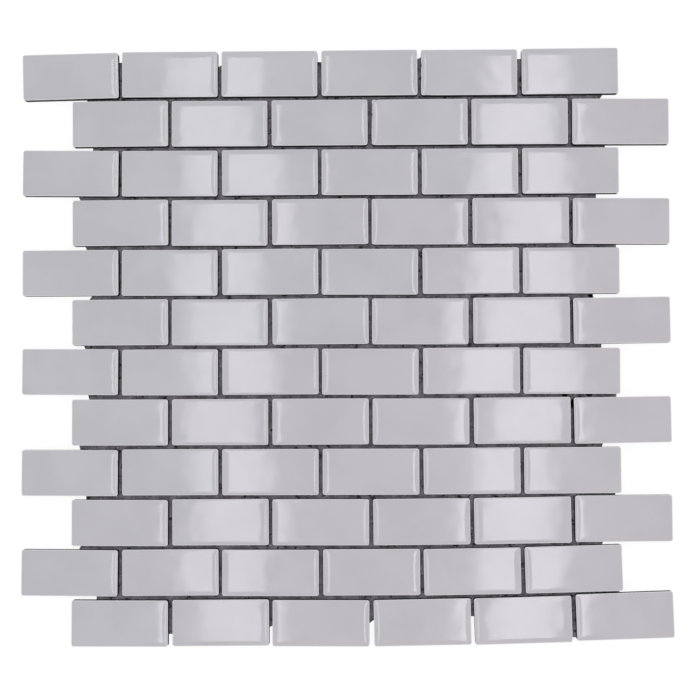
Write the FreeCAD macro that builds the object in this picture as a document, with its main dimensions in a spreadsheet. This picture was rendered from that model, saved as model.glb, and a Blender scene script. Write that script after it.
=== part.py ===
import FreeCAD, Part
import math
import os

import Sketcher

# A sheet of glazed brick mosaic, as it lies on a floor with its face up. From the floor up it is
# a cut piece of glass-fibre net, a film of adhesive, and twelve rows of six pressed tiles whose
# backs are stuck to the film. Millimetres, +Z up, the top row of the sheet towards +Y, and the
# origin under the middle of the tile field, on the floor.

ROWS = 12
TILES_PER_ROW = 6
PANELS_ACROSS = 4
PANELS_UP = 4

SIZES = [
    ("tile_length", 47.8, "long side of a tile"),
    ("tile_width", 22.8, "short side of a tile"),
    ("tile_thickness", 6.0, "back to glazed face"),
    ("tile_corner", 1.1, "radius of the four upright corners of a tile"),
    ("slope_reach", 3.0, "how far the slope reaches in from the sides"),
    ("slope_drop", 0.35, "height that the face loses over its slope"),
    ("face_corner", 2.5, "corner radius of the flat of the face"),
    ("rim_radius", 0.5, "rounded rim between slope and side"),
    ("back_chamfer", 0.35, "chamfer round the back of a tile"),
    ("joint_width", 2.0, "open joint between tiles"),
    ("laying_stray", 0.15, "how far a tile strays from its place in the grid"),
    ("laying_turn", 0.25, "degrees that a tile strays from square"),
    ("end_tile_hold", 15.0, "middle of a turned end tile to the point it turns about"),
    ("corner_pull", 3.0, "how far the bottom right tile is drawn up into the sheet"),
    ("film_thickness", 0.3, "adhesive between net and tile backs"),
    ("net_thickness", 0.45, "glass-fibre thread, pressed flat"),
    ("thread_width", 0.9, "width of a thread"),
    ("net_cell", 6.0, "thread to thread"),
    ("net_setback", 7.0, "straight sides of the tile field to the cut edge of the net"),
    ("cut_stray", 5.0, "how far the scissors stray from a straight cut"),
]

# The free tile at the end of each row, from the top row down: the degrees that it is turned
# anticlockwise and the millimetres that it lies above its row. It is the left tile in the rows
# that reach out to the left, and the right tile in the others.
END_TILES = (
    (1.0, -0.5), (-0.4, -0.4), (-0.9, -0.1), (-0.3, -0.3), (-0.1, -0.1), (0.9, -0.2),
    (-0.5, 0.2), (0.8, 0.0), (-0.2, -0.1), (-0.7, 0.3), (-0.3, 0.1), (-0.5, 0.2),
)

# Net and film were cut by hand, slightly askew at each joint. The first number is how far out the
# cut lies in the middle of a joint, as a share of cut_stray. The second is how much further out it
# lies at the upper side of the joint than at the lower, or at its right side than at its left. The
# cuts at the left and right go from the top joint down, and the others from the left joint on.
CUT_LEFT = (
    (0.1, 0.0), (-0.5, 0.0), (0.8, 0.2), (0.15, 0.2), (-0.25, -0.3), (0.3, 0.15),
    (-0.1, 0.1), (0.8, 0.1), (0.15, 0.0), (0.75, -0.2), (-0.9, 0.0),
)
CUT_RIGHT = (
    (-0.2, 0.3), (0.2, -0.15), (-0.75, 0.0), (1.2, 0.0), (-1.15, -0.2), (-0.35, 0.0),
    (1.1, 0.0), (-0.35, 0.1), (0.9, 0.0), (-0.5, 0.15), (1.3, 0.0),
)
CUT_TOP = ((0.55, 0.0), (0.15, 0.2), (0.45, 0.0), (0.75, 0.2), (0.6, 0.0))
CUT_BOTTOM = ((0.3, 0.0), (-0.45, -0.2), (-0.9, -0.3), (-1.4, 0.0), (0.7, 0.0))

PITCH_ALONG = "(sizes.tile_length + sizes.joint_width)"
PITCH_UP = "(sizes.tile_width + sizes.joint_width)"
BACKS = "(sizes.net_thickness + sizes.film_thickness)"
# Half of the straight size that the net is cut to.
HALF_ACROSS = f"(({TILES_PER_ROW} / 2 - 0.25) * {PITCH_ALONG} - sizes.joint_width / 2 - sizes.net_setback)"
HALF_UP = f"({ROWS} / 2 * {PITCH_UP} - sizes.joint_width / 2 - sizes.net_setback)"

doc = FreeCAD.newDocument("brick_mosaic_sheet")


def size_sheet():
    """The driving sizes, one to a line, each with an alias that the model's expressions name."""
    sheet = doc.addObject("Spreadsheet::Sheet", "sizes")
    lines = [(alias, value, meaning) for alias, value, meaning in SIZES]
    for row, (turn, rise) in enumerate(END_TILES, start=1):
        lines.append((f"end_turn_{row:02d}", turn, f"degrees that the free tile of row {row} is turned"))
        lines.append((f"end_rise_{row:02d}", rise, f"how far the free tile of row {row} lies above its row"))
    for line, (alias, value, meaning) in enumerate(lines, start=1):
        sheet.set(f"A{line}", meaning)
        sheet.set(f"B{line}", str(value))
        sheet.setAlias(f"B{line}", alias)
    doc.recompute()
    return sheet


def ground_plane(body):
    """The body's own XY plane."""
    return next(feature for feature in body.Origin.OriginFeatures if feature.Role == "XY_Plane")


def flat_sketch(body, name, height="0"):
    """An empty sketch on the body's ground plane, raised to the height that the expression gives."""
    sketch = body.newObject("Sketcher::SketchObject", name)
    sketch.AttachmentSupport = (ground_plane(body), [""])
    sketch.MapMode = "FlatFace"
    sketch.setExpression("AttachmentOffset.Base.z", height)
    return sketch


def constrain(sketch, kind, *where, size=None, expression=None):
    """Adds one constraint, and ties it to the expression if there is one."""
    values = where if size is None else (*where, size)
    index = sketch.addConstraint(Sketcher.Constraint(kind, *values))
    if expression:
        sketch.setExpression(f"Constraints[{index}]", expression)


def rounded_rectangle(sketch, length, width, corner):
    """Draws a rectangle with rounded corners about the origin. The three sizes are expressions."""
    # Any start near the real one will do, because the constraints set the sizes.
    x, y, r = 20.0, 10.0, 1.0
    up = FreeCAD.Vector(0, 0, 1)
    corners = [(x, -y), (x, y), (-x, y), (-x, -y)]
    for (ax, ay), (bx, by) in zip(corners[-1:] + corners[:-1], corners):
        along = FreeCAD.Vector(bx - ax, by - ay, 0).normalize()
        start = FreeCAD.Vector(ax, ay, 0) + along * r
        end = FreeCAD.Vector(bx, by, 0) - along * r
        sketch.addGeometry(Part.LineSegment(start, end))
    for quarter, (cx, cy) in enumerate(corners):
        middle = FreeCAD.Vector(cx - math.copysign(r, cx), cy - math.copysign(r, cy), 0)
        begin = (quarter - 1) * math.pi / 2
        sketch.addGeometry(Part.ArcOfCircle(Part.Circle(middle, up, r), begin, begin + math.pi / 2))
    for side in range(4):
        constrain(sketch, "Tangent", side, 2, 4 + side, 1)
        constrain(sketch, "Tangent", 4 + side, 2, (side + 1) % 4, 1)
    for arc in (5, 6, 7):
        constrain(sketch, "Equal", 4, arc)
    constrain(sketch, "Symmetric", 0, 1, 0, 2, -2)
    constrain(sketch, "Symmetric", 1, 1, 1, 2, -1)
    constrain(sketch, "Horizontal", 2)
    constrain(sketch, "Vertical", 3)
    constrain(sketch, "DistanceX", 3, 1, 1, 1, size=2 * x, expression=length)
    constrain(sketch, "DistanceY", 0, 1, 2, 1, size=2 * y, expression=width)
    constrain(sketch, "Radius", 4, size=r, expression=corner)


def edges_at(shape, height):
    """Names of the edges that lie wholly at one height."""
    close = 1e-4
    names = []
    for number, edge in enumerate(shape.Edges, start=1):
        box = edge.BoundBox
        if abs(box.ZMin - height) < close and abs(box.ZMax - height) < close:
            names.append(f"Edge{number}")
    return names


def pressed_tile():
    """One tile: a block with rounded corners under a shallow sloped face, its edges rounded."""
    body = doc.addObject("PartDesign::Body", "pressed_tile")
    outline = flat_sketch(body, "tile_outline")
    rounded_rectangle(outline, "sizes.tile_length", "sizes.tile_width", "sizes.tile_corner")
    block = body.newObject("PartDesign::Pad", "tile_block")
    block.Profile = outline
    block.setExpression("Length", "sizes.tile_thickness - sizes.slope_drop")

    shoulder = flat_sketch(body, "tile_shoulder", "sizes.tile_thickness - sizes.slope_drop")
    rounded_rectangle(shoulder, "sizes.tile_length", "sizes.tile_width", "sizes.tile_corner")
    face = flat_sketch(body, "tile_face", "sizes.tile_thickness")
    rounded_rectangle(
        face,
        "sizes.tile_length - 2 * sizes.slope_reach",
        "sizes.tile_width - 2 * sizes.slope_reach",
        "sizes.face_corner",
    )
    slope = body.newObject("PartDesign::AdditiveLoft", "tile_slope")
    slope.Profile = shoulder
    slope.Sections = [face]
    slope.Ruled = True
    doc.recompute()

    rim = body.newObject("PartDesign::Fillet", "tile_rim")
    rim.Base = (slope, edges_at(slope.Shape, sheet.get("tile_thickness") - sheet.get("slope_drop")))
    rim.setExpression("Radius", "sizes.rim_radius")
    doc.recompute()

    back = body.newObject("PartDesign::Chamfer", "back_edge")
    back.Base = (rim, edges_at(rim.Shape, 0.0))
    back.setExpression("Size", "sizes.back_chamfer")
    body.Tip = back
    doc.recompute()
    return body


def corner_pull_at(row, place):
    """Share of the corner pull that reaches a tile, and how steeply it grows along the row.

    The bottom right corner of the sheet is drawn up. The pull begins past the middle of the rows
    and below the seventh row. place counts pitches along the row from the first tile on the left.
    """
    first_place, last_place, first_row = 3.35, TILES_PER_ROW - 0.5, 7
    along = max(0.0, (place - first_place) / (last_place - first_place))
    down = max(0.0, (row - first_row) / (ROWS - first_row))
    share = along**1.4 * down**1.6
    steepness = 1.4 * along**0.4 * down**1.6 / (last_place - first_place)
    return share, steepness


def wander(row, column, salt):
    """A steady number from -1 to 1 for a tile, which looks random."""
    return math.sin(12.9898 * row + 78.233 * column + 37.719 * salt)


def tile_row(tile, row):
    """One row of tiles, laid by hand: each tile strays a little, and the free end tile is turned."""
    reaches_left = row % 2 == 1
    shift = -0.25 if reaches_left else 0.25
    free_column = 0 if reaches_left else TILES_PER_ROW - 1
    inward = 1 if reaches_left else -1
    laid = []
    for column in range(TILES_PER_ROW):
        along = column - (TILES_PER_ROW - 1) / 2 + shift
        up = (ROWS + 1) / 2 - row
        share, steepness = corner_pull_at(row, column if reaches_left else column + 0.5)
        x = f"{along} * {PITCH_ALONG} + {wander(row, column, 1):.3f} * sizes.laying_stray"
        y = (
            f"{up} * {PITCH_UP} + {wander(row, column, 2):.3f} * sizes.laying_stray"
            f" + {share:.4f} * sizes.corner_pull"
        )
        turn = (
            f"{wander(row, column, 3):.3f} * sizes.laying_turn"
            f" + atan({steepness:.4f} * sizes.corner_pull / {PITCH_ALONG}) / 1 deg"
        )
        if column == free_column:
            hold = f"{inward} * sizes.end_tile_hold"
            end_turn = f"sizes.end_turn_{row:02d} * 1 deg"
            x += f" + {hold} * (1 - cos({end_turn}))"
            y += f" - {hold} * sin({end_turn}) + sizes.end_rise_{row:02d}"
            turn += f" + sizes.end_turn_{row:02d}"
        link = doc.addObject("App::Link", f"tile_{row:02d}_{column + 1}")
        link.LinkedObject = tile
        link.Placement = FreeCAD.Placement(FreeCAD.Vector(), FreeCAD.Rotation(FreeCAD.Vector(0, 0, 1), 1.0))
        link.setExpression("Placement.Base.x", x)
        link.setExpression("Placement.Base.y", y)
        link.setExpression("Placement.Base.z", BACKS)
        link.setExpression("Placement.Rotation.Angle", turn)
        laid.append(link)
    name = f"tile_row_{row:02d}"
    whole = doc.addObject("Part::Compound", name)
    whole.Links = laid
    return whole


def cut_points():
    """The corners of the cut edge as pairs of expressions, anticlockwise from the bottom left.

    There are two at each joint, one at either side of it, and one at each corner of the sheet.
    """
    def edge(half, share):
        return f"({half} + {share:.3f} * sizes.cut_stray)"

    def side_joints(cuts, sign):
        for number, (share, askew) in enumerate(cuts, start=1):
            for place in (1, -1):
                x = f"{sign} * {edge(HALF_ACROSS, share + place * askew / 2)}"
                yield x, f"{ROWS / 2 - number} * {PITCH_UP} + {place} * sizes.joint_width / 2"

    def end_joints(cuts, sign, shift):
        for number, (share, askew) in enumerate(cuts, start=1):
            for place in (-1, 1):
                x = f"{number - TILES_PER_ROW / 2 + shift} * {PITCH_ALONG} + {place} * sizes.joint_width / 2"
                yield x, f"{sign} * {edge(HALF_UP, share + place * askew / 2)}"

    def corner(across, side_cut, up, end_cut):
        return f"{across} * {edge(HALF_ACROSS, side_cut[0])}", f"{up} * {edge(HALF_UP, end_cut[0])}"

    return [
        corner(-1, CUT_LEFT[-1], -1, CUT_BOTTOM[0]),
        *end_joints(CUT_BOTTOM, -1, 0.25),
        corner(1, CUT_RIGHT[-1], -1, CUT_BOTTOM[-1]),
        *reversed(list(side_joints(CUT_RIGHT, 1))),
        corner(1, CUT_RIGHT[0], 1, CUT_TOP[-1]),
        *reversed(list(end_joints(CUT_TOP, 1, -0.25))),
        corner(-1, CUT_LEFT[0], 1, CUT_TOP[0]),
        *side_joints(CUT_LEFT, -1),
    ]


def adhesive_film():
    """The film under the tile backs, cut by hand along with the net below it."""
    body = doc.addObject("PartDesign::Body", "adhesive_film")
    sketch = flat_sketch(body, "cut_outline", "sizes.net_thickness")
    points = cut_points()
    places = [FreeCAD.Vector(sketch.evalExpression(x), sketch.evalExpression(y), 0) for x, y in points]
    for number, place in enumerate(places):
        sketch.addGeometry(Part.LineSegment(place, places[(number + 1) % len(places)]))
    for number in range(len(places)):
        constrain(sketch, "Coincident", number, 2, (number + 1) % len(places), 1)
    for number, (x, y) in enumerate(points):
        constrain(sketch, "DistanceX", -1, 1, number, 1, size=places[number].x, expression=x)
        constrain(sketch, "DistanceY", -1, 1, number, 1, size=places[number].y, expression=y)
    film = body.newObject("PartDesign::Pad", "film_pad")
    film.Profile = sketch
    film.setExpression("Length", "sizes.film_thickness")
    body.Tip = film
    doc.recompute()
    return body, sketch


def net_panel(name, outline, across, up):
    """One panel of the net: threads that cross, each ending half a cell past its last crossing.

    A sketch of so many cells takes minutes to solve, so the panel is one flat face, given the
    thickness of a thread. Out of it are cut the open cells between the threads and the places of
    the crossings that the scissors took away. across and up count the panels from the lower left.
    """
    cell, thread, thickness = (sheet.get(alias) for alias in ("net_cell", "thread_width", "net_thickness"))
    box = outline.BoundBox
    cells_across = math.ceil(2 * max(-box.XMin, box.XMax) / PANELS_ACROSS / cell)
    cells_up = math.ceil(2 * max(-box.YMin, box.YMax) / PANELS_UP / cell)
    left = (across - PANELS_ACROSS / 2) * cells_across * cell
    bottom = (up - PANELS_UP / 2) * cells_up * cell

    def square(side, x, y):
        return Part.makePlane(side, side, FreeCAD.Vector(x - side / 2, y - side / 2, 0))

    taken_away = []
    for column in range(cells_across):
        for row in range(cells_up):
            crossing = FreeCAD.Vector(left + (column + 0.5) * cell, bottom + (row + 0.5) * cell, 0)
            if not outline.isInside(crossing, 1e-3, True):
                taken_away.append(square(cell, crossing.x, crossing.y))
    openings = []
    for column in range(cells_across + 1):
        for row in range(cells_up + 1):
            openings.append(square(cell - thread, left + column * cell, bottom + row * cell))
    whole = Part.makePlane(cells_across * cell, cells_up * cell, FreeCAD.Vector(left, bottom, 0))
    panel = doc.addObject("Part::Feature", name)
    panel.Shape = whole.cut(openings + taken_away).extrude(FreeCAD.Vector(0, 0, thickness))
    panel.Placement = FreeCAD.Placement()
    return panel


def backing_net(cut_sketch):
    """The net as panels that meet edge to edge, from the top left panel on."""
    wire = cut_sketch.Shape.Wires[0].copy()
    wire.translate(FreeCAD.Vector(0, 0, -sheet.get("net_thickness")))
    outline = Part.Face(wire)
    pieces = []
    for up in reversed(range(PANELS_UP)):
        for across in range(PANELS_ACROSS):
            pieces.append(net_panel(f"backing_net_{len(pieces) + 1:02d}", outline, across, up))
    return pieces


def save_all(nodes):
    """Checks every object and writes one STEP file for each node."""
    doc.recompute()
    for item in doc.Objects:
        if "Invalid" in item.State or "Error" in item.State:
            raise RuntimeError(f"{item.Label} failed: {item.State}")
    for node in nodes:
        if node.Shape.isNull() or not node.Shape.isValid():
            raise RuntimeError(f"{node.Label} has no valid shape")
    os.makedirs("parts", exist_ok=True)
    for node in nodes:
        node.Shape.exportStep(f"parts/{node.Label}.step")


sheet = size_sheet()
tile = pressed_tile()
rows = [tile_row(tile, row) for row in range(1, ROWS + 1)]
film, cut_sketch = adhesive_film()
save_all([*rows, film, *backing_net(cut_sketch)])
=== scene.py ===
import math
import random

import bmesh
import bpy
from mathutils import Matrix, Vector, noise
from mathutils.bvhtree import BVHTree


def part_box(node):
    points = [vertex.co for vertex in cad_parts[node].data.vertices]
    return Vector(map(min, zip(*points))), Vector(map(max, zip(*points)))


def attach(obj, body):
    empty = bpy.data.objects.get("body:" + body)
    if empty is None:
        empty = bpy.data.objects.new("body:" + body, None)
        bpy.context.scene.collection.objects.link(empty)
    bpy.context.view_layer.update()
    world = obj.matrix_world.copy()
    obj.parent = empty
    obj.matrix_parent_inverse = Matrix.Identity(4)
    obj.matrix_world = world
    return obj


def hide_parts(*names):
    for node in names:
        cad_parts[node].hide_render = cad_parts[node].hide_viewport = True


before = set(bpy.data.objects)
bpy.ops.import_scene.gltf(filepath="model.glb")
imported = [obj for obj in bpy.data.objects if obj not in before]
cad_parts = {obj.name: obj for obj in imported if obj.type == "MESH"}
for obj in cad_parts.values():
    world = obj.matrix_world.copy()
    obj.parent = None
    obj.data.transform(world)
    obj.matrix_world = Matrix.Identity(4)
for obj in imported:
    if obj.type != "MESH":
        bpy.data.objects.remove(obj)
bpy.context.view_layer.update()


# The backing net is white glass-fibre yarn in a plain weave, stiffened with resin where its
# threads cross. It is the lowest layer, trimmed along the same cut as the film of adhesive over
# it. Each panel here stands for the panel of the same number in the solids.
MM = 0.001
TOUCHING = 0.001 * MM
NET_PANELS = 16
NET_CELL = 6.0 * MM
NET_THICKNESS = 0.45 * MM
THREAD_WIDTH = 0.9 * MM
THREAD_THICKNESS = 0.24 * MM
THREAD_SIDES = 6
THREAD_JOIN = 0.02 * MM
STEPS_A_CELL = 4
# A thread is trimmed at one of these steps across its cell, and left out under the fewest.
TRIM_STEPS = 24
FEWEST_STEPS = 3
YARN_COLOURS = (0.62, 0.61, 0.58), (0.84, 0.84, 0.82)
YARN_RELIEF = 0.08 * MM
RESIN_COLOUR = (0.66, 0.66, 0.67)


def node_material(name, roughness, specular=0.5):
    """A new material, with its node tree, its shader and its object coordinates."""
    material = bpy.data.materials.new(name)
    material.use_nodes = True
    tree = material.node_tree
    shader = tree.nodes["Principled BSDF"]
    shader.inputs["Roughness"].default_value = roughness
    shader.inputs["Specular IOR Level"].default_value = specular
    place = tree.nodes.new("ShaderNodeTexCoord").outputs["Object"]
    return material, tree, shader, place


def own_value(tree, name):
    """A value that the mesh carries on its points."""
    attribute = tree.nodes.new("ShaderNodeAttribute")
    attribute.attribute_name = name
    return attribute.outputs["Fac"]


def noise_at(tree, place, scale, detail=2.0, stretch=(1, 1, 1)):
    """A noise texture on the given coordinates, finer along the axes with a larger stretch."""
    mapping = tree.nodes.new("ShaderNodeMapping")
    mapping.inputs["Scale"].default_value = stretch
    texture = tree.nodes.new("ShaderNodeTexNoise")
    texture.inputs["Scale"].default_value = scale
    texture.inputs["Detail"].default_value = detail
    tree.links.new(place, mapping.inputs["Vector"])
    tree.links.new(mapping.outputs["Vector"], texture.inputs["Vector"])
    return texture.outputs["Fac"]


def spread(tree, value, low, high, new_low=0.0, new_high=1.0):
    """Spreads the part of a value between low and high over a new range, with soft ends."""
    new_range = tree.nodes.new("ShaderNodeMapRange")
    new_range.interpolation_type = "SMOOTHSTEP"
    new_range.inputs["From Min"].default_value = low
    new_range.inputs["From Max"].default_value = high
    new_range.inputs["To Min"].default_value = new_low
    new_range.inputs["To Max"].default_value = new_high
    tree.links.new(value, new_range.inputs["Value"])
    return new_range.outputs["Result"]


def set_or_link(tree, socket, value):
    """Gives a socket a number or a colour, or links it to the output of another node."""
    if isinstance(value, bpy.types.NodeSocket):
        tree.links.new(value, socket)
    else:
        socket.default_value = (*value, 1) if socket.type == "RGBA" else value


def mixed(tree, factor, first, second, kind="RGBA"):
    """A mix of two colours or, where the kind is VALUE, of two numbers."""
    mix = tree.nodes.new("ShaderNodeMix")
    mix.data_type = "RGBA" if kind == "RGBA" else "FLOAT"
    tree.links.new(factor, mix.inputs["Factor"])
    for name, part in (("A", first), ("B", second)):
        socket = next(slot for slot in mix.inputs if slot.name == name and slot.type == kind)
        set_or_link(tree, socket, part)
    return next(slot for slot in mix.outputs if slot.type == kind)


def bumped(tree, shader, height, distance):
    """Gives a shader the relief of a height from 0 to 1 over the given distance."""
    bump = tree.nodes.new("ShaderNodeBump")
    bump.inputs["Distance"].default_value = distance
    tree.links.new(height, bump.inputs["Height"])
    tree.links.new(bump.outputs["Normal"], shader.inputs["Normal"])


def solid_copy(node_name):
    """A copy of a node's solid, with its loose triangles joined."""
    solid = bmesh.new()
    solid.from_mesh(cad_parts[node_name].data)
    bmesh.ops.remove_doubles(solid, verts=solid.verts, dist=TOUCHING)
    return solid


def ray_target(node_name):
    """The solid of a node, made ready for rays."""
    solid = solid_copy(node_name)
    target = BVHTree.FromBMesh(solid)
    solid.free()
    return target


def lies_under(spot, target):
    """Whether a spot lies under the top of a solid."""
    return target.ray_cast(spot, Vector((0, 0, 1)))[0] is not None


def cut_along(mesh, spot, normal, clear_outer=False):
    """Cuts a mesh along the plane through a spot, and may take away what is beyond it."""
    everything = mesh.verts[:] + mesh.edges[:] + mesh.faces[:]
    bmesh.ops.bisect_plane(
        mesh, geom=everything, dist=TOUCHING, plane_co=spot, plane_no=normal,
        clear_outer=clear_outer,
    )


def finished_mesh(name, mesh):
    """The mesh that a bmesh describes. The bmesh is freed."""
    data = bpy.data.meshes.new(name)
    mesh.to_mesh(data)
    mesh.free()
    return data


def add_part(mesh, part):
    """Adds a bmesh to another one."""
    data = finished_mesh("part", part)
    mesh.from_mesh(data)
    bpy.data.meshes.remove(data)


def add_piece(name, mesh, materials, nodes_replaced):
    """Makes the finished bmesh a piece of the object that stands for the given nodes."""
    data = finished_mesh(name, mesh)
    data.shade_smooth()
    for material in materials:
        data.materials.append(material)
    piece = bpy.data.objects.new(name, data)
    bpy.context.scene.collection.objects.link(piece)
    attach(piece, "root")
    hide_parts(*nodes_replaced)


def thread_of_a_cell(side, axis):
    """A thread across a cell along X or Y, over (1) or under (-1) the thread that it crosses."""
    thread = bmesh.new()
    ring = bmesh.ops.create_circle(thread, segments=THREAD_SIDES, radius=THREAD_WIDTH / 2)["verts"]
    bmesh.ops.scale(thread, verts=ring, vec=(1, THREAD_THICKNESS / THREAD_WIDTH, 1))
    upright = Matrix.Rotation(math.pi / 2, 3, "X")
    bmesh.ops.rotate(thread, verts=ring, cent=(0, 0, 0), matrix=upright)
    bmesh.ops.translate(thread, verts=ring, vec=(0, -NET_CELL / 2, 0))
    edges = thread.edges[:]
    lift = side * (NET_THICKNESS - THREAD_THICKNESS) / 2
    height = 0.0
    for step in range(1, STEPS_A_CELL + 1):
        new_height = lift * math.sin(math.pi * step / STEPS_A_CELL)
        grown = bmesh.ops.extrude_edge_only(thread, edges=edges)["geom"]
        edges = [part for part in grown if isinstance(part, bmesh.types.BMEdge)]
        ring = [part for part in grown if isinstance(part, bmesh.types.BMVert)]
        onward = (0, NET_CELL / STEPS_A_CELL, new_height - height)
        bmesh.ops.translate(thread, verts=ring, vec=onward)
        height = new_height
    if axis == 0:
        quarter_turn = Matrix.Rotation(math.pi / 2, 3, "Z")
        bmesh.ops.rotate(thread, verts=thread.verts, cent=(0, 0, 0), matrix=quarter_turn)
    runs_along_x = thread.verts.layers.float.new("runs_along_x")
    for vert in thread.verts:
        vert[runs_along_x] = 1.0 - axis
    bmesh.ops.recalc_face_normals(thread, faces=thread.faces)
    return finished_mesh("thread", thread)


def lay_thread(panel, thread, middle, axis, film_above):
    """Adds one cell of a thread to a panel, cut off where it leaves the film."""
    along = Vector((0, 0, 0))
    along[axis] = 1
    half_width = Vector((0, 0, 0))
    half_width[1 - axis] = THREAD_WIDTH / 2
    spots = [
        middle + along * (NET_CELL * (step / TRIM_STEPS - 0.5))
        for step in range(TRIM_STEPS + 1)
    ]
    covered = [
        step for step, spot in enumerate(spots)
        if lies_under(spot + half_width, film_above) and lies_under(spot - half_width, film_above)
    ]
    if len(covered) < FEWEST_STEPS:
        return
    laid = bmesh.new()
    laid.from_mesh(thread)
    bmesh.ops.translate(laid, verts=laid.verts, vec=middle)
    for step, outward in ((covered[0], -along), (covered[-1], along)):
        if 0 < step < TRIM_STEPS:
            cut_along(laid, spots[step], outward, clear_outer=True)
    add_part(panel, laid)


net_yarn, tree, shader, place = node_material("glass_fibre_yarn", roughness=0.55)
fibres_along_y = noise_at(tree, place, scale=1000, stretch=(6, 0.3, 2))
fibres_along_x = noise_at(tree, place, scale=1000, stretch=(0.3, 6, 2))
runs_along_x = own_value(tree, "runs_along_x")
fibres = mixed(tree, runs_along_x, fibres_along_y, fibres_along_x, kind="VALUE")
resin = spread(tree, noise_at(tree, place, scale=90), low=0.42, high=0.62)
dipped = mixed(tree, resin, mixed(tree, fibres, *YARN_COLOURS), RESIN_COLOUR)
tree.links.new(dipped, shader.inputs["Base Color"])
bumped(tree, shader, fibres, YARN_RELIEF)

film_above = ray_target("adhesive_film")
threads = {
    (side, axis): thread_of_a_cell(side, axis)
    for side in (1, -1)
    for axis in (0, 1)
}
for number in range(1, NET_PANELS + 1):
    node_name = f"backing_net_{number:02d}"
    lowest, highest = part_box(node_name)
    solid_panel = ray_target(node_name)
    panel = bmesh.new()
    for column in range(math.floor(lowest.x / NET_CELL), math.ceil(highest.x / NET_CELL)):
        for row in range(math.floor(lowest.y / NET_CELL), math.ceil(highest.y / NET_CELL)):
            crossing = Vector((
                (column + 0.5) * NET_CELL,
                (row + 0.5) * NET_CELL,
                NET_THICKNESS / 2,
            ))
            if lies_under(crossing, solid_panel):
                side = 1 if (column + row) % 2 else -1
                lay_thread(panel, threads[side, 1], crossing, 1, film_above)
                lay_thread(panel, threads[-side, 0], crossing, 0, film_above)
    bmesh.ops.remove_doubles(panel, verts=panel.verts, dist=THREAD_JOIN)
    bmesh.ops.holes_fill(panel, edges=panel.edges, sides=THREAD_SIDES)
    bmesh.ops.recalc_face_normals(panel, faces=panel.faces)
    add_piece(f"net_panel_{number:02d}", panel, [net_yarn], [node_name])


# The adhesive is a grey film, spread over the net and pressed up a little between the tiles. It is
# what shows at the bottom of the joints: uneven, with specks and small pits, and trimmed with the
# net. In a few joints near the right edge sit near-black drops: painted shade that stands for
# voids in the film, where the shade under the sheet shows through.
FILM_STEP = 2.0 * MM
FIRST_CUT = 1.7 * MM
FLAT_ANGLE = math.radians(0.5)
# The relief is two layers of noise, each with its height and its rate a metre. The fine one
# starts elsewhere in the noise.
BROAD_RELIEF = 0.132 * MM
BROAD_RATE = 90
FINE_RELIEF = 0.088 * MM
FINE_RATE = 420
FINE_START = Vector((7, 3, 1))
GREY_COLOURS = (0.205, 0.194, 0.222), (0.40, 0.382, 0.427)
DARK_SPECK_COLOUR = (0.05, 0.047, 0.053)
PALE_SPECK_COLOUR = (0.72, 0.72, 0.72)
PIT_DEPTH = 0.25 * MM
# Each drop's middle along X and Y, and its size along X and Y, in millimetres.
DROPS = (
    (122.0, 24.8, 2.6, 1.5),
    (108.6, -24.4, 3.0, 1.5),
    (121.0, -24.4, 3.2, 1.5),
    (112.5, -28.8, 1.6, 4.6),
)
DROP_HEIGHT = 0.4 * MM
DROP_UNEVENNESS = 0.3
DROP_LUMPS = 4
# The drops' near-black colours are painted shade.
PAINTED_SHADE_DROP_COLOURS = (0.004, 0.004, 0.005), (0.045, 0.043, 0.05)
DROP_RELIEF = 0.1 * MM

film = solid_copy("adhesive_film")
bmesh.ops.dissolve_limit(film, angle_limit=FLAT_ANGLE, verts=film.verts, edges=film.edges)
film_low, film_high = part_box("adhesive_film")
for axis, normal in enumerate((Vector((1, 0, 0)), Vector((0, 1, 0)))):
    cuts = int((film_high[axis] - film_low[axis]) / FILM_STEP)
    for cut in range(cuts):
        cut_along(film, normal * (film_low[axis] + FIRST_CUT + cut * FILM_STEP), normal)
film_middle = (film_low.z + film_high.z) / 2
for vert in film.verts:
    if vert.co.z > film_middle:
        broad = BROAD_RELIEF * noise.noise(vert.co * BROAD_RATE)
        fine = FINE_RELIEF * noise.noise(vert.co * FINE_RATE + FINE_START)
        vert.co.z += broad + fine
for x, y, length, width in DROPS:
    drop = bmesh.ops.create_icosphere(film, subdivisions=3, radius=0.5)["verts"]
    for vert in drop:
        lump = noise.noise(vert.co * DROP_LUMPS + Vector((x, y, 0)))
        vert.co *= 1 + DROP_UNEVENNESS * lump
    bmesh.ops.scale(film, verts=drop, vec=(length * MM, width * MM, 2 * DROP_HEIGHT))
    bmesh.ops.translate(film, verts=drop, vec=(x * MM, y * MM, film_high.z))
    for face in {face for vert in drop for face in vert.link_faces}:
        face.material_index = 1

grey_adhesive, tree, shader, place = node_material("grey_adhesive", roughness=0.62, specular=0.35)
cloud = spread(tree, noise_at(tree, place, scale=160, detail=4), low=0.35, high=0.68)
dark_specks = spread(tree, noise_at(tree, place, scale=300), low=0.60, high=0.68)
pale_specks = spread(tree, noise_at(tree, place, scale=1100, detail=1), low=0.66, high=0.72)
specked = mixed(tree, dark_specks, mixed(tree, cloud, *GREY_COLOURS), DARK_SPECK_COLOUR)
specked = mixed(tree, pale_specks, specked, PALE_SPECK_COLOUR)
tree.links.new(specked, shader.inputs["Base Color"])
bumped(tree, shader, noise_at(tree, place, scale=700, detail=4), PIT_DEPTH)

# The drops are painted shade for voids in the film.
painted_shade_drops, tree, shader, place = node_material("painted_shade_drops", roughness=0.9, specular=0.05)
mottle = spread(tree, noise_at(tree, place, scale=900), low=0.45, high=0.65)
tree.links.new(mixed(tree, mottle, *PAINTED_SHADE_DROP_COLOURS), shader.inputs["Base Color"])
bumped(tree, shader, mottle, DROP_RELIEF)

add_piece("adhesive", film, [grey_adhesive, painted_shade_drops], ["adhesive_film"])
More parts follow.
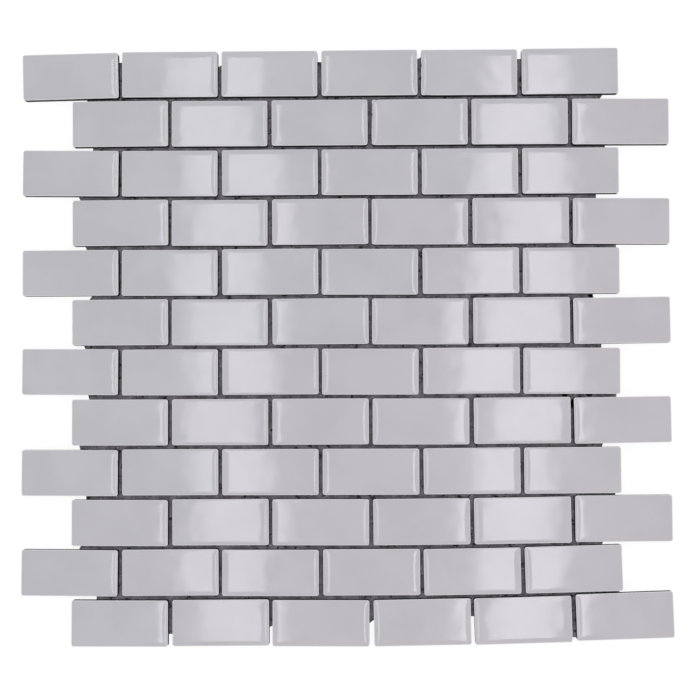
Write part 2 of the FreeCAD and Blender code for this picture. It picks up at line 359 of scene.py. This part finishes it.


# The tiles are dry-pressed ceramic, all from one die: a flat face that curves down ever more
# steeply towards a rounded rim. A pale grey gloss glaze covers the face and the rim; the rim's
# glaze is painted lighter, a painted highlight. The sides and the back, which has a shallow
# recess, are bare
# biscuit, painted near black: painted shade standing for the shade on the walls in the narrow
# joints.
TILE_ROWS = 12
TILE_LENGTH = 47.8 * MM
TILE_WIDTH = 22.8 * MM
TILE_THICKNESS = 6.0 * MM
TILE_CORNER = 1.1 * MM
CORNER_STEPS = 6
LONG_SIDE_PARTS = 10
SHORT_SIDE_PARTS = 5
# The face drops by this much over its outer few millimetres, where its rings crowd to the rim.
CURVE_REACH = 4.5 * MM
CURVE_DROP = 0.39 * MM
CURVE_POWER = 3.2
CURVE_STEPS = 8
CURVE_CROWDING = 1.4
# The corners grow rounder inwards, as far as the width of the tile leaves room.
CORNER_GROWTH = 0.35 / MM
CORNER_ROOM = 0.5 * MM
RIM_RADIUS = 0.35 * MM
RIM_TURN = math.radians(77)
RIM_STEPS = 5
# How far the glaze runs down the sides below the rim.
GLAZE_RUN = 0.4 * MM
BACK_CHAMFER = 0.35 * MM
RECESS_EDGE = 2.4 * MM
RECESS_DEPTH = 0.3 * MM
RECESS_CORNER = 0.6 * MM
RECESS_FLOOR_CORNER = 0.5 * MM
# Where the flat of the face has rings, and how far from the tile's ends face and back close.
FLAT_RINGS = (6.0 * MM, 8.5 * MM)
SPINE_END = 15.0 * MM
# Each face is a little domed and tilted. The stray of the dome is a share of its height.
DOME_HEIGHT = 0.06 * MM
DOME_STRAY = (0.3, 1.4)
DOME_ACROSS = 0.5
TILT = math.radians(0.22)
# How much nearer a tile's tone comes to the warmer, lighter colours, a metre to the right and
# down:
# partly painted light for the brighter right and lower side, partly the glaze's own tint.
LIGHT_AND_WARMTH_ALONG = 4.0
LIGHT_AND_WARMTH_DOWN = 3.0
WARMTH_STRAY = 0.2
# A wall of a tile's solid faces upwards by less than this.
WALL_SLANT = 0.01
# The biscuit colours are near black: painted shade for the walls deep in the narrow joints.
BISCUIT_AND_JOINT_SHADE_COLOURS = (0.05, 0.048, 0.053), (0.085, 0.082, 0.089)
BISCUIT_ROUGHNESS = 0.95
BISCUIT_RELIEF = 0.06 * MM
# The glaze goes from its cooler to its warmer colour from tile to tile.
THIN_GLAZE_COLOURS = (0.438, 0.438, 0.467), (0.463, 0.447, 0.475)
THICK_GLAZE_COLOURS = (0.463, 0.463, 0.493), (0.485, 0.469, 0.497)
# The lighter rim colour is a painted highlight along each tile's edge.
PAINTED_RIM_HIGHLIGHT_COLOUR = (0.65, 0.645, 0.66)
# The glaze ends between these heights over the floor, once the wander is added.
GLAZE_FOOT = (6.3 * MM, 6.45 * MM)
GLAZE_WANDER = 0.7 * MM
GLAZE_ROUGHNESS = (0.055, 0.085)
GLAZE_FOOT_ROUGHNESS = 0.85
GLAZE_RIPPLE = 0.06 * MM


def face_height(inward):
    """Height of the face over the back at a distance in from the tile's outline."""
    return TILE_THICKNESS - CURVE_DROP * max(0.0, 1 - inward / CURVE_REACH) ** CURVE_POWER


def tile_profile():
    """The rings of a tile from the middle of its back round to the middle of its face.

    Each ring is its distance in from the outline at the short ends and at the long sides, its
    corner radius and its height. The first and the last have no width, so they close the tile.
    """
    rim_end = RIM_RADIUS * (1 - math.cos(RIM_TURN))
    rim_foot = face_height(rim_end) - RIM_RADIUS * math.sin(RIM_TURN)
    recess_floor = RECESS_EDGE + RECESS_DEPTH
    rings = [
        (SPINE_END, TILE_WIDTH / 2, 0.0, RECESS_DEPTH),
        (recess_floor, recess_floor, RECESS_FLOOR_CORNER, RECESS_DEPTH),
        (RECESS_EDGE, RECESS_EDGE, RECESS_CORNER, 0.0),
        (BACK_CHAMFER, BACK_CHAMFER, TILE_CORNER - BACK_CHAMFER, 0.0),
        (0.0, 0.0, TILE_CORNER, BACK_CHAMFER),
        (0.0, 0.0, TILE_CORNER, rim_foot - GLAZE_RUN),
    ]
    for step in range(RIM_STEPS + 1):
        angle = RIM_TURN * step / RIM_STEPS
        inward = RIM_RADIUS * (1 - math.cos(angle))
        height = rim_foot + RIM_RADIUS * math.sin(angle)
        rings.append((inward, inward, TILE_CORNER - inward, height))
    curve = [
        rim_end + (CURVE_REACH - rim_end) * (step / CURVE_STEPS) ** CURVE_CROWDING
        for step in range(1, CURVE_STEPS + 1)
    ]
    for inward in (*curve, *FLAT_RINGS):
        corner = TILE_CORNER - rim_end + CORNER_GROWTH * (inward - rim_end) ** 2
        corner = min(corner, TILE_WIDTH / 2 - inward - CORNER_ROOM)
        rings.append((inward, inward, corner, face_height(inward)))
    rings.append((SPINE_END, TILE_WIDTH / 2, 0.0, TILE_THICKNESS))
    return rings


def pressed_tile():
    """One tile about its own middle, long side along X, with its back at height 0.

    Its outline is drawn once and extruded from ring to ring of the profile. Each point carries
    its core, which is its share of the straight sides, and its way outwards from there, so that
    a ring can have any corner radius.
    """
    tile = bmesh.new()
    bmesh.ops.create_grid(tile, x_segments=1, y_segments=1, size=0.5)
    bmesh.ops.scale(tile, verts=tile.verts, vec=(TILE_LENGTH, TILE_WIDTH, 1))
    bmesh.ops.bevel(
        tile, geom=tile.verts[:], offset=TILE_CORNER, offset_type="OFFSET", affect="VERTICES",
        segments=CORNER_STEPS, profile=0.5, material=-1,
    )
    bmesh.ops.delete(tile, geom=tile.faces[:], context="FACES_ONLY")
    for shortest, parts in ((TILE_WIDTH, LONG_SIDE_PARTS), (TILE_WIDTH / 2, SHORT_SIDE_PARTS)):
        sides = [edge for edge in tile.edges if edge.calc_length() > shortest]
        bmesh.ops.subdivide_edges(tile, edges=sides, cuts=parts - 1)
    half_length, half_width = TILE_LENGTH / 2 - TILE_CORNER, TILE_WIDTH / 2 - TILE_CORNER
    core = tile.verts.layers.float_vector.new("core")
    outward = tile.verts.layers.float_vector.new("outward")
    for vert in tile.verts:
        inner = Vector((
            max(-half_length, min(half_length, vert.co.x)),
            max(-half_width, min(half_width, vert.co.y)),
            0,
        ))
        vert[core] = Vector((inner.x / half_length, inner.y / half_width, 0))
        vert[outward] = (vert.co - inner) / TILE_CORNER
    # at_rim marks the rim rings, which the glaze paints lighter as a painted highlight.
    at_rim = tile.verts.layers.float.new("at_rim")
    rings = tile_profile()
    ring, edges = tile.verts[:], tile.edges[:]
    for number, (ends_in, sides_in, corner, height) in enumerate(rings):
        if number:
            grown = bmesh.ops.extrude_edge_only(tile, edges=edges)["geom"]
            edges = [part for part in grown if isinstance(part, bmesh.types.BMEdge)]
            ring = [part for part in grown if isinstance(part, bmesh.types.BMVert)]
        rim_share = float(ends_in < RIM_RADIUS and height > TILE_THICKNESS / 2)
        for vert in ring:
            x = vert[core].x * (TILE_LENGTH / 2 - ends_in - corner) + vert[outward].x * corner
            y = vert[core].y * (TILE_WIDTH / 2 - sides_in - corner) + vert[outward].y * corner
            vert.co = Vector((x, y, height))
            vert[at_rim] = rim_share
    foot_of_glaze = next(height for *_, height in rings if height > TILE_THICKNESS / 2)
    for face in tile.faces:
        if max(vert.co.z for vert in face.verts) < foot_of_glaze + TOUCHING:
            face.material_index = 1
    bmesh.ops.remove_doubles(tile, verts=tile.verts, dist=TOUCHING)
    bmesh.ops.recalc_face_normals(tile, faces=tile.faces)
    return finished_mesh("pressed_tile", tile)


def separate_tiles(row):
    """The points of each tile of a row."""
    waiting = set(row.verts)
    for start in row.verts:
        tile = []
        front = [start]
        while front:
            vert = front.pop()
            if vert in waiting:
                waiting.remove(vert)
                tile.append(vert)
                front.extend(edge.other_vert(vert) for edge in vert.link_edges)
        if tile:
            yield tile


def middle_and_turn(tile):
    """The middle of a tile's back and the turn of the tile, from the points of its solid.

    The long walls outweigh the short ones, so they face the way that all the walls do on the
    whole. The facing is doubled while it is summed, because opposite walls would cancel out.
    """
    facing = Vector((0, 0))
    for face in dict.fromkeys(face for vert in tile for face in vert.link_faces):
        if abs(face.normal.z) < WALL_SLANT:
            angle = 2 * math.atan2(face.normal.y, face.normal.x)
            facing += face.calc_area() * Vector((math.cos(angle), math.sin(angle)))
    across = math.atan2(facing.y, facing.x) / 2
    turn = across % math.pi - math.pi / 2
    turned_back = Matrix.Rotation(-turn, 3, "Z")
    spots = [turned_back @ vert.co for vert in tile]
    lowest = [min(spot[axis] for spot in spots) for axis in range(3)]
    highest = [max(spot[axis] for spot in spots) for axis in range(3)]
    middle = Vector(((lowest[0] + highest[0]) / 2, (lowest[1] + highest[1]) / 2, lowest[2]))
    return Matrix.Rotation(turn, 3, "Z") @ middle, turn


def worked_out(tree, operation, *values):
    """The result of a sum on values, each a number or the output of a node."""
    node = tree.nodes.new("ShaderNodeMath")
    node.operation = operation
    for socket, value in zip(node.inputs, values):
        set_or_link(tree, socket, value)
    return node.outputs["Value"]


body_with_painted_shade, tree, shader, place = node_material(
    "biscuit_painted_for_joint_shade", roughness=BISCUIT_ROUGHNESS, specular=0.1,
)
biscuit_grain = noise_at(tree, place, scale=1500, detail=3)
# Near-black biscuit colour: painted shade for the joint walls.
biscuit_and_joint_shade = mixed(tree, biscuit_grain, *BISCUIT_AND_JOINT_SHADE_COLOURS)
tree.links.new(biscuit_and_joint_shade, shader.inputs["Base Color"])
bumped(tree, shader, biscuit_grain, BISCUIT_RELIEF)

glaze, tree, shader, place = node_material("grey_gloss_glaze", roughness=max(GLAZE_ROUGHNESS))
tile_tone = own_value(tree, "tile_tone")
thinner = mixed(tree, tile_tone, *THIN_GLAZE_COLOURS)
thicker = mixed(tree, tile_tone, *THICK_GLAZE_COLOURS)
cloud = spread(tree, noise_at(tree, place, scale=45, detail=3), low=0.35, high=0.65)
# The rim rings get a lighter colour: a painted highlight.
painted_rim_highlight = spread(tree, own_value(tree, "at_rim"), low=0.5, high=1.0)
glaze_and_rim_highlight = mixed(tree, painted_rim_highlight, mixed(tree, cloud, thinner, thicker), PAINTED_RIM_HIGHLIGHT_COLOUR)
height = tree.nodes.new("ShaderNodeSeparateXYZ")
tree.links.new(place, height.inputs["Vector"])
wander = noise_at(tree, place, scale=260)
edge_of_glaze = worked_out(tree, "MULTIPLY_ADD", wander, GLAZE_WANDER, height.outputs["Z"])
glazed = spread(tree, edge_of_glaze, *GLAZE_FOOT)
biscuit_grain = noise_at(tree, place, scale=1500, detail=3)
# Below the glaze foot the same near-black biscuit shows: painted shade on the joint walls.
biscuit_and_joint_shade = mixed(tree, biscuit_grain, *BISCUIT_AND_JOINT_SHADE_COLOURS)
tree.links.new(mixed(tree, glazed, biscuit_and_joint_shade, glaze_and_rim_highlight), shader.inputs["Base Color"])
gloss = spread(tree, noise_at(tree, place, scale=200), 0.3, 0.7, *GLAZE_ROUGHNESS)
roughness = mixed(tree, glazed, GLAZE_FOOT_ROUGHNESS, gloss, kind="VALUE")
tree.links.new(roughness, shader.inputs["Roughness"])
ripple = noise_at(tree, place, scale=70, detail=1)
bumped(tree, shader, mixed(tree, glazed, biscuit_grain, ripple, kind="VALUE"), GLAZE_RIPPLE)

tile_mesh = pressed_tile()
fortune = random.Random(11)
for number in range(1, TILE_ROWS + 1):
    node_name = f"tile_row_{number:02d}"
    solid_row = solid_copy(node_name)
    places = [middle_and_turn(tile) for tile in separate_tiles(solid_row)]
    solid_row.free()
    row = bmesh.new()
    for middle, turn in sorted(places, key=lambda spot: spot[0].x):
        tile = bmesh.new()
        tile.from_mesh(tile_mesh)
        lean_x, lean_y = fortune.gauss(0, TILT), fortune.gauss(0, TILT)
        dome = DOME_HEIGHT * fortune.uniform(*DOME_STRAY)
        # Tiles further right and lower get a lighter, warmer glaze: partly painted light, partly
        # the glaze's own tint.
        warmth_and_painted_light = 0.5 + LIGHT_AND_WARMTH_ALONG * middle.x - LIGHT_AND_WARMTH_DOWN * middle.y
        warmth_and_painted_light += fortune.uniform(-WARMTH_STRAY, WARMTH_STRAY)
        warmth_and_painted_light = max(0.0, min(1.0, warmth_and_painted_light))
        tone = tile.verts.layers.float.new("tile_tone")
        for vert in tile.verts:
            vert[tone] = warmth_and_painted_light
            x, y, z = vert.co
            risen = max(0.0, z / TILE_THICKNESS - 0.5) * 2
            bow = (x / TILE_LENGTH * 2) ** 2 + DOME_ACROSS * (y / TILE_WIDTH * 2) ** 2
            vert.co.z += risen * (lean_x * x + lean_y * y - dome * bow)
        turned = Matrix.Rotation(turn, 3, "Z")
        bmesh.ops.rotate(tile, verts=tile.verts, cent=(0, 0, 0), matrix=turned)
        bmesh.ops.translate(tile, verts=tile.verts, vec=middle)
        add_part(row, tile)
    add_piece(f"glazed_tiles_{number:02d}", row, [glaze, body_with_painted_shade], [node_name])


# The floor is a white studio sweep. It shows white to the camera and in the glaze, and keeps a
# faint shadow of the sheet.
FLOOR_REACH = 4.0
FLOOR_COLOUR = (0.85, 0.85, 0.85)
FLOOR_WHITE = 1.06
SHARE_OF_WHITE = 0.85


def show_directly(tree, share, shown, lighting, output):
    """Lights things with one shader, and shows a share of another one to camera and mirrors."""
    rays = tree.nodes.new("ShaderNodeLightPath").outputs
    seen = worked_out(tree, "MAXIMUM", rays["Is Camera Ray"], rays["Is Glossy Ray"])
    seen = worked_out(tree, "MAXIMUM", seen, rays["Is Transmission Ray"])
    blend = tree.nodes.new("ShaderNodeMixShader")
    tree.links.new(worked_out(tree, "MULTIPLY", seen, share), blend.inputs["Fac"])
    tree.links.new(lighting, blend.inputs[1])
    tree.links.new(shown, blend.inputs[2])
    tree.links.new(blend.outputs["Shader"], tree.nodes[output].inputs["Surface"])


floor_paint = bpy.data.materials.new("white_floor")
floor_paint.use_nodes = True
tree = floor_paint.node_tree
tree.nodes.remove(tree.nodes["Principled BSDF"])
matte = tree.nodes.new("ShaderNodeBsdfDiffuse")
matte.inputs["Color"].default_value = (*FLOOR_COLOUR, 1)
white = tree.nodes.new("ShaderNodeEmission")
white.inputs["Strength"].default_value = FLOOR_WHITE
show_directly(
    tree, SHARE_OF_WHITE, white.outputs["Emission"], matte.outputs["BSDF"], "Material Output",
)

floor_sheet = bmesh.new()
bmesh.ops.create_grid(floor_sheet, x_segments=1, y_segments=1, size=FLOOR_REACH)
floor_mesh = finished_mesh("floor", floor_sheet)
floor_mesh.materials.append(floor_paint)
floor = bpy.data.objects.new("floor", floor_mesh)
bpy.context.scene.collection.objects.link(floor)


# The light is a white room with bright side walls, the right one brighter than the left, and two
# long soft strips overhead, left and right of the camera. The strips are what the glaze mirrors as
# two upright bands.
WALL_LEVEL = 0.7
CEILING_LEVEL = 0.9
SIDE_WALL_GAIN = 0.65
RIGHT_WALL_GAIN = 0.1
# What the camera and the glaze see of the room.
SEEN_ROOM_COLOUR = (0.8, 0.8, 0.8)
# Each strip's name, place along X, width and power.
STRIPS = (
    ("left_strip", -0.215, 0.135, 1.85),
    ("right_strip", 0.22, 0.14, 2.3),
)
STRIP_LENGTH = 1.15
STRIP_ALONG_Y = 0.01
STRIP_HEIGHT = 1.8
STRIP_COLOUR = (1.0, 0.975, 1.02)

world = bpy.data.worlds.new("room")
bpy.context.scene.world = world
world.use_nodes = True
tree = world.node_tree
direction = tree.nodes.new("ShaderNodeSeparateXYZ")
generated = tree.nodes.new("ShaderNodeTexCoord").outputs["Generated"]
tree.links.new(generated, direction.inputs["Vector"])
upward, sideways = direction.outputs["Z"], direction.outputs["X"]
steepness = worked_out(tree, "POWER", upward, 2.0)
level = mixed(tree, steepness, WALL_LEVEL, CEILING_LEVEL, kind="VALUE")
gain = worked_out(tree, "MULTIPLY_ADD", sideways, SIDE_WALL_GAIN, RIGHT_WALL_GAIN)
level = worked_out(tree, "MULTIPLY_ADD", sideways, gain, level)
room = tree.nodes["Background"]
room.inputs["Color"].default_value = (1, 1, 1, 1)
tree.links.new(level, room.inputs["Strength"])
seen_room = tree.nodes.new("ShaderNodeBackground")
seen_room.inputs["Color"].default_value = (*SEEN_ROOM_COLOUR, 1)
show_directly(
    tree, 1.0, seen_room.outputs["Background"], room.outputs["Background"], "World Output",
)

for name, x, width, watts in STRIPS:
    strip = bpy.data.lights.new(name, "AREA")
    strip.shape = "RECTANGLE"
    strip.size = width
    strip.size_y = STRIP_LENGTH
    strip.energy = watts
    strip.color = STRIP_COLOUR
    lamp = bpy.data.objects.new(name, strip)
    lamp.location = (x, STRIP_ALONG_Y, STRIP_HEIGHT)
    lamp.visible_camera = False
    bpy.context.scene.collection.objects.link(lamp)


# The camera looks straight down from about 0.9 m, a little off the middle of the sheet, through a
# long lens that frames the sheet as the photograph does.
CAMERA_PLACE = (0.0198, -0.0336, 0.9005)
CAMERA_TURN = (2.0966, 1.1934, -0.2352)
LENS_LENGTH = 93.4
SENSOR_WIDTH = 36
SIGHT_LIMIT = 20

lens = bpy.data.cameras.new("camera")
lens.lens = LENS_LENGTH
lens.sensor_width = SENSOR_WIDTH
lens.clip_end = SIGHT_LIMIT
camera = bpy.data.objects.new("camera", lens)
camera.location = CAMERA_PLACE
camera.rotation_euler = [math.radians(angle) for angle in CAMERA_TURN]
bpy.context.scene.collection.objects.link(camera)
bpy.context.scene.camera = camera
bpy.context.scene.view_settings.view_transform = "Standard"
